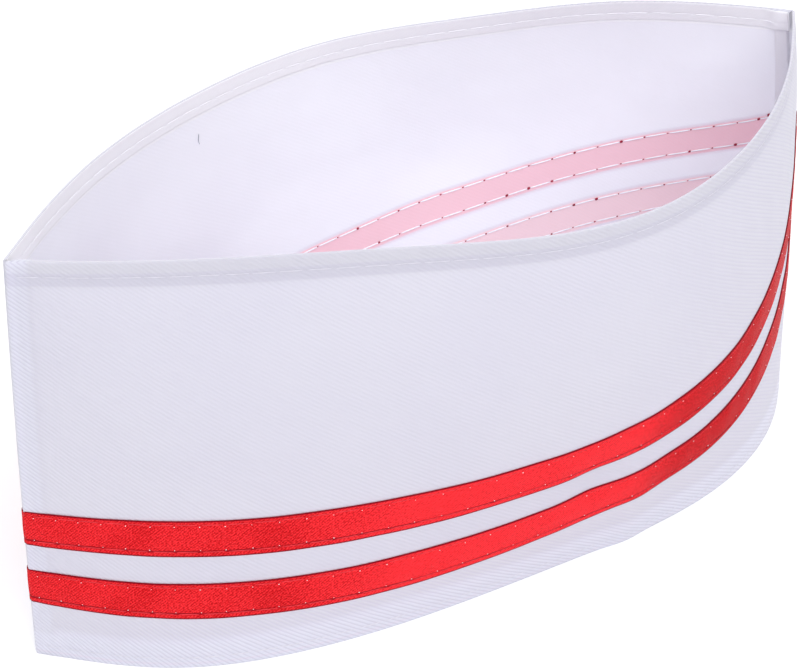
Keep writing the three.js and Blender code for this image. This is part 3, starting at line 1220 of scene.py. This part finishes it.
def sewSide(shape, seams):
    def hemDrop(along):
        return stitching["hemDrop"]

    def crownDrop(along):
        return sectionAt(shape, along)["total"] - stitching["crownRise"]

    sewRow(seams["hem"], outsideRow(shape, hemDrop, -stitching["sunk"]), hemStitch)
    sewRow(seams["hemInside"], insideRow(shape, hemDrop, 2 * half + 2 * fold), hemStitch)
    sewRow(seams["crownEdge"], outsideRow(shape, crownDrop, -stitching["sunk"]), hemStitch)
    upperRow, lowerRow = ribbon["stitchRows"]
    for offset in (0, hatShape["ribbonPitch"]):
        sewRibbonRow(shape, seams, offset + upperRow, stitching["dotInwards"])
        sewRibbonRow(shape, seams, offset + lowerRow, -stitching["dotInwards"])


# A short end of thread that hangs on the far wall inside, hooked at its tip. Its dark grey stands for the light
# thread and the shadow it casts: painted shadow.
looseThread = {
    "run": 96.6,
    "drop": 12.4,
    "length": 1.6,
    "radius": 0.15,
    "spread": 0.4,
    "lean": 0.9,
    "hang": 3.2,
    "hookFrom": 0.7,
    "hook": 1.6,
    "standOff": 0.2,
    "tipRise": 0.3,
}


def makeLooseThread():
    start = looseThread["run"]
    length = looseThread["length"]
    inside = insideRow(leftShape, lambda along: looseThread["drop"], 2 * half)

    def curl(run, aside, lift):
        turn = (run - start) / length
        hook = looseThread["hook"] * max(turn - looseThread["hookFrom"], 0)
        bent = start + (run - start) * looseThread["spread"] - looseThread["lean"] * turn + hook
        stand = looseThread["standOff"] + looseThread["tipRise"] * turn * turn
        return inside(bent, looseThread["hang"] * turn + aside, lift + stand)

    bm = bmesh.new()
    addStitch(bm, curl, start, start + length, looseThread["radius"], 0)
    finishThread("loose_thread_end", bm, "shadowGreyThread")


# The knot of red thread where the upper left ribbon meets the low end's seam
endKnot = {"run": 276.9, "down": 0.3, "radius": 0.55}


def makeStitches():
    seamNames = ("hem", "hemInside", "crownEdge", "ribbon", "ribbonInsideAndGlints", "pricks")
    seams = {name: bmesh.new() for name in seamNames}
    for shape in (rightShape, leftShape):
        sewSide(shape, seams)
    knotRow = insideRow(leftShape, lambda along: ribbonDrop(along) + endKnot["down"], 2 * half)
    addDot(seams["pricks"], knotRow, endKnot["run"], endKnot["radius"])
    finishThread("hem_stitches", seams["hem"], "clothThread")
    finishThread("hem_stitches_inside", seams["hemInside"], "whiteThread")
    makeLooseThread()
    finishThread("crown_edge_stitches", seams["crownEdge"], "clothThread")
    finishThread("ribbon_stitches", seams["ribbon"], "redThread")
    finishThread("ribbon_stitches_inside_and_glints", seams["ribbonInsideAndGlints"], "whiteThread")
    finishThread("ribbon_thread_pricks", seams["pricks"], "darkRedThread")


makeStitches()
print("stitches sewn")

# The floor, lights and camera

studio = {
    "floorSize": 6,
    "floorColour": (0.93, 0.93, 0.94, 1),
    "floorGrain": 0.02,
    "floorRoughness": 0.9,
    "worldStrength": 0.68,
    "topPower": 2.0,
    "topAngle": 60,
    "topPlace": (-0.25, -0.75, 1.15),
    "backPower": 1.7,
    "backAngle": 40,
    "backPlace": (0.50, 1.00, 0.30),
}
photoCamera = {
    "place": (-0.31958, -0.42999, 0.42805),
    "yaw": 0.948,
    "pitch": 0.625,
    "roll": 0.002,
    "lens": 109.19,
    "sensor": 36,
    "nearest": 0.01,
    "shiftX": -0.01268,
    "shiftY": 0.00575,
}


def makeFloor():
    bm = bmesh.new()
    bmesh.ops.create_grid(bm, x_segments=4, y_segments=4, size=studio["floorSize"] / 2)
    mesh = bpy.data.meshes.new("studio_floor")
    bm.to_mesh(mesh)
    bm.free()
    material, tree, shader = newMaterial("paleFloor")
    place = tree.nodes.new("ShaderNodeTexCoord")
    grain = addNode(tree, "ShaderNodeTexNoise", Vector=place.outputs["Object"], Scale=3.0, Detail=2.0)
    shade = tint(tree, studio["floorColour"], grain.outputs["Fac"], studio["floorGrain"], white)
    feed(tree, shader.inputs["Base Color"], shade)
    setShader(shader, {"Roughness": studio["floorRoughness"]})
    mesh.materials.append(material)
    floor = bpy.data.objects.new("studio_floor", mesh)
    bpy.context.scene.collection.objects.link(floor)


# A wide, soft light a long way off, shining on the hat from a place
def makeSoftLight(name, place, power, angle):
    lamp = bpy.data.lights.new(name, "SUN")
    lamp.energy = power
    lamp.angle = math.radians(angle)
    lampObject = bpy.data.objects.new(name, lamp)
    lampObject.location = place
    lampObject.rotation_euler = (-Vector(place)).to_track_quat("-Z", "Y").to_euler()
    bpy.context.scene.collection.objects.link(lampObject)


def makeCamera():
    camera = bpy.data.cameras.new("photo_camera")
    camera.lens = photoCamera["lens"]
    camera.sensor_width = photoCamera["sensor"]
    camera.shift_x = photoCamera["shiftX"]
    camera.shift_y = photoCamera["shiftY"]
    camera.clip_start = photoCamera["nearest"]
    cameraObject = bpy.data.objects.new("photo_camera", camera)
    yaw = photoCamera["yaw"]
    pitch = photoCamera["pitch"]
    forward = Vector((math.cos(pitch) * math.cos(yaw), math.cos(pitch) * math.sin(yaw), -math.sin(pitch)))
    turn = forward.to_track_quat("-Z", "Y").to_matrix().to_4x4()
    cameraObject.matrix_world = (
        Matrix.Translation(photoCamera["place"]) @ turn @ Matrix.Rotation(photoCamera["roll"], 4, "Z")
    )
    bpy.context.scene.collection.objects.link(cameraObject)
    bpy.context.scene.camera = cameraObject


makeFloor()
makeSoftLight("top_light", studio["topPlace"], studio["topPower"], studio["topAngle"])
makeSoftLight("back_light", studio["backPlace"], studio["backPower"], studio["backAngle"])
makeCamera()
world = bpy.data.worlds.new("white_studio")
world.use_nodes = True
background = world.node_tree.nodes["Background"]
background.inputs["Color"].default_value = white
background.inputs["Strength"].default_value = studio["worldStrength"]
bpy.context.scene.world = world
bpy.context.scene.view_settings.view_transform = "Standard"
print("studio set")
